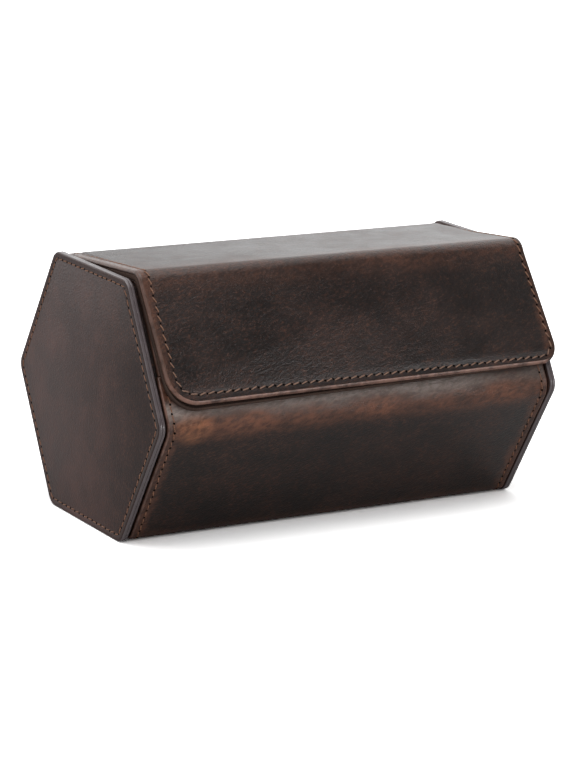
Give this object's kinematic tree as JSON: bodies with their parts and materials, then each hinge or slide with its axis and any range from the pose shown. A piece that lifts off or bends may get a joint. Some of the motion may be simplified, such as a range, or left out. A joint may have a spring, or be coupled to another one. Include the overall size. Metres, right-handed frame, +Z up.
{
  "type": "watch travel case",
  "caption": "Hexagonal leather case that carries wrist watches on removable cushions, with a folding magnetic lid over its top and upper front.",
  "frame": {"origin": "middle of the footprint, on the surface that the case stands on", "axes": "+X along the case towards its right end, +Y from the front to the hinge side, +Z up"},
  "size_m": [0.186, 0.1206, 0.1092],
  "materials": {
    "end_leather": "dark brown, almost black, smooth waxed leather",
    "end_edge_leather": "dark grey brown leather with a smooth painted edge",
    "body_leather": "dark brown waxed leather that lightens to red brown along its folds",
    "board": "plain brown board",
    "suede": "dark brown suede",
    "cushion_suede": "brown suede",
    "foam": "open foam",
    "magnet": "nickel plated disc"
  },
  "bodies": {
    "case": {"left_end_leather": "end_leather", "left_end_backing": "end_edge_leather", "left_gusset": "body_leather", "left_end_board": "board", "left_end_lining": "suede", "left_rim_strip": "body_leather", "right_end_leather": "end_leather", "right_end_backing": "end_edge_leather", "right_gusset": "body_leather", "right_end_board": "board", "right_end_lining": "suede", "right_rim_strip": "body_leather", "body_wrap": "body_leather", "front_lip_board": "board", "lower_front_board": "board", "bottom_board": "board", "lower_rear_board": "board", "upper_rear_board": "board", "body_lining": "suede", "lip_magnets": "magnet", "left_divider_board": "board", "left_divider_suede": "suede", "right_divider_board": "board", "right_divider_suede": "suede", "hinge_leather": "body_leather", "hinge_lining": "suede"},
    "lid_top": {"lid_top_leather": "body_leather", "lid_top_board": "board", "lid_top_lining": "suede", "fold_leather": "body_leather", "fold_lining": "suede"},
    "lid_flap": {"flap_leather": "body_leather", "flap_board": "board", "flap_lining": "suede", "flap_magnets": "magnet"},
    "left_cushion": {"left_cushion_cover": "cushion_suede", "left_cushion_foam": "foam"},
    "middle_cushion": {"middle_cushion_cover": "cushion_suede", "middle_cushion_foam": "foam"},
    "right_cushion": {"right_cushion_cover": "cushion_suede", "right_cushion_foam": "foam"}
  },
  "joints": [
    {"name": "lid_hinge", "type": "hinge", "parent": "case", "child": "lid_top", "pos_m": [0, 0.02958, 0.10397], "axis": [-1, 0, 0], "range_deg": [0, 180], "deforming": ["hinge_leather", "hinge_lining"]},
    {"name": "flap_fold", "type": "hinge", "parent": "lid_top", "child": "lid_flap", "pos_m": [0, -0.03154, 0.10857], "axis": [-1, 0, 0], "range_deg": [0, 60], "deforming": ["fold_leather", "fold_lining"]},
    {"name": "left_cushion_lift", "type": "slide", "parent": "case", "child": "left_cushion", "axis": [0, 0, 1], "range_m": [0, 0.04]},
    {"name": "middle_cushion_lift", "type": "slide", "parent": "case", "child": "middle_cushion", "axis": [0, 0, 1], "range_m": [0, 0.04]},
    {"name": "right_cushion_lift", "type": "slide", "parent": "case", "child": "right_cushion", "axis": [0, 0, 1], "range_m": [0, 0.04]}
  ]
}
